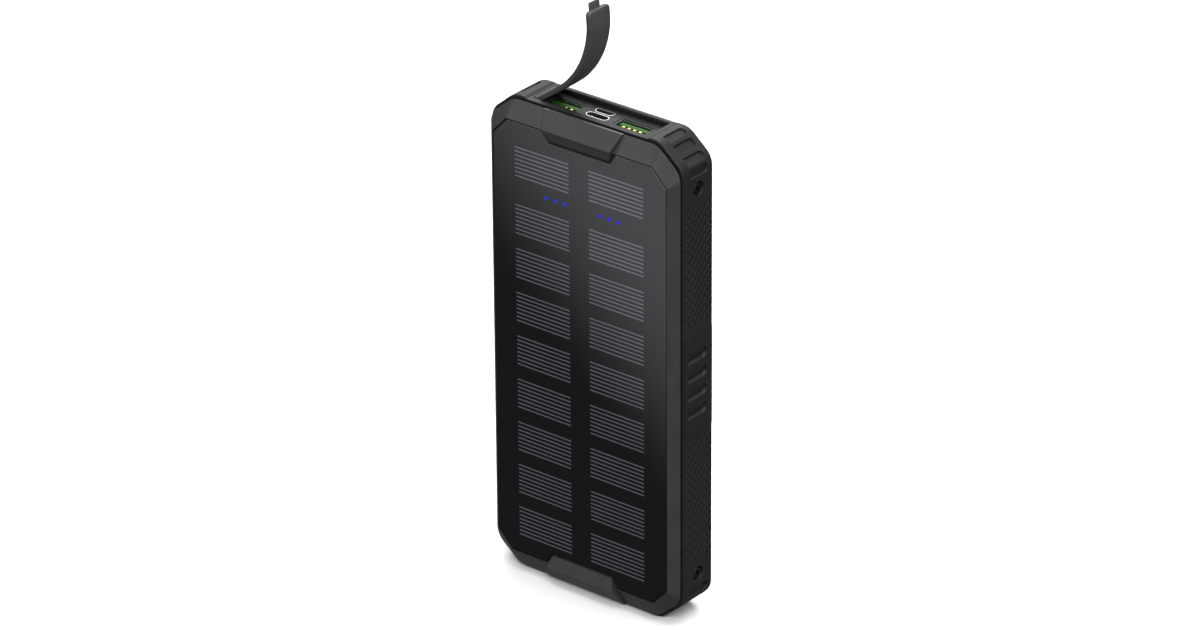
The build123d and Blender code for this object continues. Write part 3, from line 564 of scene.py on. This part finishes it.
def cell_fingers():
    """Eighteen cells of eight fingers, in two columns, as the cells lie behind the glass."""
    cells_low, cells_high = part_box("solar_cells")
    glass_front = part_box("panel_glass")[0][1]
    border = CELL_BORDER * MM
    first = cells_high[2] - border
    second = first - FIRST_ROW_STEP * MM
    steps = PITCHES_PER_ROW * (LOWER_ROWS - 1) + FINGERS_PER_CELL - 1
    pitch = (second - cells_low[2] - border) / steps
    inner = COLUMN_GAP * MM / 2
    length = cells_high[0] - border - inner
    column = inner + length / 2
    y = glass_front + (FINGER_SUNK - FINGER_PROUD) * MM / 2
    pattern = finger("finger", Vector((column, y, first)), length)
    bars = [pattern]
    for i in range(1, FINGERS_PER_CELL):
        bars.append(copy_of(pattern, f"finger_{i}", Matrix.Translation((0, 0, -i * pitch))))
    cell = join(bars, "fingers_right_1")
    tops = [0.0] + [second - first - row * PITCHES_PER_ROW * pitch for row in range(LOWER_ROWS)]
    groups = [cell]
    for row, drop in enumerate(tops, start=1):
        for side, shift in (("right", 0.0), ("left", -2 * column)):
            if row > 1 or side == "left":
                move = Matrix.Translation((shift, 0, drop))
                groups.append(copy_of(cell, f"fingers_{side}_{row}", move))
    for group in groups:
        dress(group, finger_paste)
        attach(group, "housing")


finger_paste = finger_silver()
cell_fingers()


# ------------------------------------------------------------------ knurling
def waffle(name, width, height):
    """A closed pad of raised crossed ribs, lying flat: its ribs' tops are at z = 0."""
    deselect()
    count = int((width + height) * GRID_COVER / (KNURL_PITCH * MM)) + 1
    bpy.ops.mesh.primitive_grid_add(
        x_subdivisions=count,
        y_subdivisions=count,
        size=count * KNURL_PITCH * MM,
        rotation=(0, 0, math.radians(45)),
    )
    piece = name_and_settle(name)
    bpy.ops.mesh.select_all(action="SELECT")
    bpy.ops.mesh.inset(thickness=KNURL_RIB / 2 * MM, depth=0, use_individual=True)
    bpy.ops.mesh.inset(thickness=KNURL_SLOPE * MM, depth=-KNURL_DEPTH * MM, use_individual=True)
    for half, axis in ((width / 2, Vector((1, 0, 0))), (height / 2, Vector((0, 1, 0)))):
        for outward in (axis, -axis):
            bpy.ops.mesh.select_all(action="SELECT")
            bpy.ops.mesh.bisect(plane_co=outward * half, plane_no=outward, clear_outer=True)
    choose(piece, "EDGE", lambda edge: len(edge.link_faces) == 1)
    slide((0, 0, -KNURL_BASE * MM))
    bpy.ops.transform.resize(value=(1, 1, 0), center_override=(0, 0, -KNURL_BASE * MM))
    bpy.ops.mesh.edge_face_add()
    return finish_mesh(piece, KNURL_SMOOTH)


def side_knurling():
    """Four waffle fields, filling the recesses above and below the middle grips."""
    case_low, case_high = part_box("rear_case")
    middle = (case_low[2] + case_high[2]) / 2
    front = case_low[1] + FIELD_FRONT * MM
    back = case_high[1] - FIELD_BACK * MM
    width = back - front
    wall = case_high[0] - GRIP_PROUD * MM
    turns = {
        "right": Matrix(((0, 0, 1), (1, 0, 0), (0, 1, 0))),
        "left": Matrix(((0, 0, -1), (-1, 0, 0), (0, 1, 0))),
    }
    for end, sign in (("upper", 1), ("lower", -1)):
        near = FIELD_NEAR[end]
        pattern = waffle("side_knurl_pattern", width, (FIELD_FAR - near) * MM)
        height = middle + sign * (near + FIELD_FAR) / 2 * MM
        for side, turn in turns.items():
            x = wall if side == "right" else -wall
            place = Vector((x, (front + back) / 2, height))
            move = Matrix.Translation(place) @ turn.to_4x4()
            field = copy_of(pattern, f"knurl_{side}_{end}", move)
            dress(field, materials["case_shell"])
            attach(field, "housing")
        bpy.data.objects.remove(pattern)


side_knurling()


# ------------------------------------------------------------------ port cover strap
def hinge_points():
    """The strap's hinges in order, from its root, as the joints give them."""
    joints = {joint["name"]: joint for joint in frame["joints"]}
    names = ["cover_fold"] + [f"strap_flex_{i}" for i in range(2, 8)]
    return [Vector(joints[name]["pos_m"]) for name in names]


def heading(angle):
    """The direction along the strap at an angle above the horizontal."""
    return Vector((math.cos(angle), 0, math.sin(angle)))


def strap_section(name, place, angle):
    """The strap's cross section as a face with rounded corners, square to the strap."""
    deselect()
    bpy.ops.mesh.primitive_plane_add(size=1)
    piece = name_and_settle(name, (STRAP_THICKNESS * MM, STRAP_WIDTH * MM, 1))
    bpy.ops.mesh.select_all(action="SELECT")
    bpy.ops.mesh.bevel(offset=STRAP_EDGE * MM, segments=3, affect="VERTICES")
    bpy.ops.object.mode_set(mode="OBJECT")
    along = heading(angle)
    over = Vector((-along.z, 0, along.x))
    turn = Matrix((over, Vector((0, 1, 0)), over.cross(Vector((0, 1, 0))))).transposed()
    piece.data.transform(Matrix.Translation(place) @ turn.to_4x4())
    bpy.ops.object.mode_set(mode="EDIT")
    bpy.ops.mesh.select_mode(type="FACE")
    bpy.ops.mesh.select_all(action="SELECT")
    return piece


def strap_bend(name, joint, before, after, lead_in, lead_out, tangent):
    """A stretch of strap that runs straight, turns smoothly at a hinge and runs straight again."""
    piece = strap_section(name, joint - heading(before) * lead_in, before)
    slide(heading(before) * (lead_in - tangent))
    turn = after - before
    radius = tangent / math.tan(turn / 2)
    over = Vector((-heading(before).z, 0, heading(before).x))
    centre = joint - heading(before) * tangent + over * radius
    bpy.ops.mesh.spin(steps=ARC_STEPS, angle=-turn, center=centre, axis=(0, -1, 0))
    slide(heading(after) * (lead_out - tangent))
    return finish_mesh(piece, STRAP_SMOOTH)


def strap_tip(joint, angle, start, end):
    """The strap's free end, with rounded corners and the thin tab that lifts it."""
    along = heading(angle)
    over = Vector((-along.z, 0, along.x))
    piece = strap_section("strap_tip", joint + along * start, angle)
    corner = STRAP_TIP_ROUND * MM
    slide(along * (end - start - corner))
    width = STRAP_WIDTH
    reached = 0.0
    for step in range(1, TIP_STEPS + 1):
        turn = math.pi / 2 * step / TIP_STEPS
        narrow = STRAP_WIDTH - 2 * STRAP_TIP_ROUND * (1 - math.cos(turn))
        slide(along * corner * (math.sin(turn) - reached))
        bpy.ops.transform.resize(value=(1, narrow / width, 1), center_override=joint)
        width = narrow
        reached = math.sin(turn)
    piece = finish_mesh(piece, STRAP_SMOOTH)
    deselect()
    bpy.ops.mesh.primitive_cube_add(size=1)
    size = Vector((TAB_LENGTH + TAB_ROOT, TAB_WIDTH, TAB_THICKNESS)) * MM
    tab = name_and_settle("strap_tab", size)
    bpy.ops.mesh.select_all(action="SELECT")
    bpy.ops.mesh.bevel(offset=TAB_EDGE * MM, segments=3, affect="EDGES")
    tab = finish_mesh(tab)
    forward = end + (TAB_LENGTH - TAB_ROOT) / 2 * MM
    above = (STRAP_THICKNESS + TAB_THICKNESS) / 2 * MM
    turn = Matrix((along, Vector((0, 1, 0)), over)).transposed()
    tab.data.transform(Matrix.Translation(joint + along * forward + over * above) @ turn.to_4x4())
    return join([piece, tab], "strap_tip")


def port_cover_strap():
    """One smooth rubber strap in place of the seven links."""
    joints = hinge_points()
    angles = [math.atan2((b - a).z, (b - a).x) for a, b in zip(joints, joints[1:])]
    angles.append(math.radians(STRAP_TIP_ANGLE))
    last_length = (joints[-1] - joints[-2]).length
    halves = [(b - a).length / 2 for a, b in zip(joints, joints[1:])] + [last_length / 2]
    befores = [0.0] + angles
    lead_ins = [STRAP_ROOT_BACK * MM] + halves
    tangents = [STRAP_ROOT_TANGENT * MM] + [STRAP_TANGENT * MM] * (len(joints) - 1)
    bodies = ["housing"] + [f"strap_{i}" for i in range(1, len(joints) + 1)]
    for i, joint in enumerate(joints):
        name = f"strap_bend_{i + 1}" if i else "strap_root"
        before, after = befores[i], angles[i]
        piece = strap_bend(name, joint, before, after, lead_ins[i], halves[i], tangents[i])
        dress(piece, materials["cover_rubber"])
        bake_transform(piece)
        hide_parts(f"cover_link_{i + 1}")
    tip = strap_tip(joints[-1], angles[-1], halves[-1], last_length)
    dress(tip, materials["cover_rubber"])
    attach(tip, bodies[-1])


port_cover_strap()


# ------------------------------------------------------------------ floor, lights and camera
FLOOR_SIZE = 14.0
FLOOR_PATCH = 400
SURROUND_STRENGTH = 0.22
LAMP_AIM = Vector((0, 0, 0.1))
# each lamp's place and width in metres, and its power in watts
LAMPS = {
    "overhead": ((0.0, 0.3, 2.2), 2.4, 72),
    "front_left": ((-1.6, -1.9, 1.0), 1.0, 7),
    "front_high": ((1.2, -1.4, 1.9), 0.9, 34),
    "back_left": ((-1.3, 1.6, 1.2), 1.0, 14),
    "right_high": ((1.7, 0.3, 1.4), 0.5, 8),
    "right_low": ((2.0, -1.6, 0.3), 0.5, 9),
}
CAMERA_YAW = 38.77
CAMERA_RISE = 26.76
CAMERA_ROLL = -0.38
CAMERA_DISTANCE = 1.984
CAMERA_LENS = 180
AIM_SHIFT = Vector((0.7, 0.55, -4.7)) * MM


def pale_floor():
    """A plain pale sweep of painted board."""
    deselect()
    bpy.ops.mesh.primitive_plane_add(size=FLOOR_SIZE)
    floor = name_and_settle("floor")
    bpy.ops.object.mode_set(mode="OBJECT")
    made, tree, principled = open_material("white_painted_board", 0.7, IOR=1.45)
    patches = spread(tree, noise(tree, object_place(tree), FLOOR_PATCH, PATCH_DETAIL), PATCH_LOW, PATCH_HIGH)
    tree.links.new(tint(tree, patches, "#f7f7f7", "#fbfbfb"), principled.inputs["Base Color"])
    floor.data.materials.append(made)
    floor.visible_diffuse = False
    floor.visible_glossy = False


def studio_light(name, place, size, power):
    """One soft square lamp that faces the power bank."""
    lamp = bpy.data.lights.new(name, "AREA")
    lamp.energy = power
    lamp.size = size
    made = bpy.data.objects.new(name, lamp)
    made.location = place
    made.rotation_euler = (LAMP_AIM - Vector(place)).to_track_quat("-Z", "Y").to_euler()
    bpy.context.scene.collection.objects.link(made)


def studio():
    """Soft even light from above and in front, and a white surround."""
    world = bpy.data.worlds.new("studio")
    world.use_nodes = True
    world.node_tree.nodes["Background"].inputs["Color"].default_value = linear("#ffffff")
    world.node_tree.nodes["Background"].inputs["Strength"].default_value = SURROUND_STRENGTH
    bpy.context.scene.world = world
    for name, (place, size, power) in LAMPS.items():
        studio_light(name, place, size, power)


def set_camera():
    """A long lens, from the front right and above."""
    lens = bpy.data.cameras.new("camera")
    lens.lens = CAMERA_LENS
    lens.clip_end = 50
    camera = bpy.data.objects.new("camera", lens)
    yaw = math.radians(CAMERA_YAW)
    rise = math.radians(CAMERA_RISE)
    roll = math.radians(CAMERA_ROLL)
    back = Vector((math.sin(yaw) * math.cos(rise), -math.cos(yaw) * math.cos(rise), math.sin(rise)))
    right = Vector((0, 0, 1)).cross(back).normalized()
    up = back.cross(right)
    level_right = math.cos(roll) * right + math.sin(roll) * up
    level_up = math.cos(roll) * up - math.sin(roll) * right
    low, high = cad_box
    aim = (Vector(low) + Vector(high)) / 2 + AIM_SHIFT
    turn = Matrix((level_right, level_up, back)).transposed().to_4x4()
    camera.matrix_world = Matrix.Translation(aim + back * CAMERA_DISTANCE) @ turn
    bpy.context.scene.collection.objects.link(camera)
    bpy.context.scene.camera = camera


pale_floor()
studio()
set_camera()
bpy.context.scene.view_settings.view_transform = "Standard"
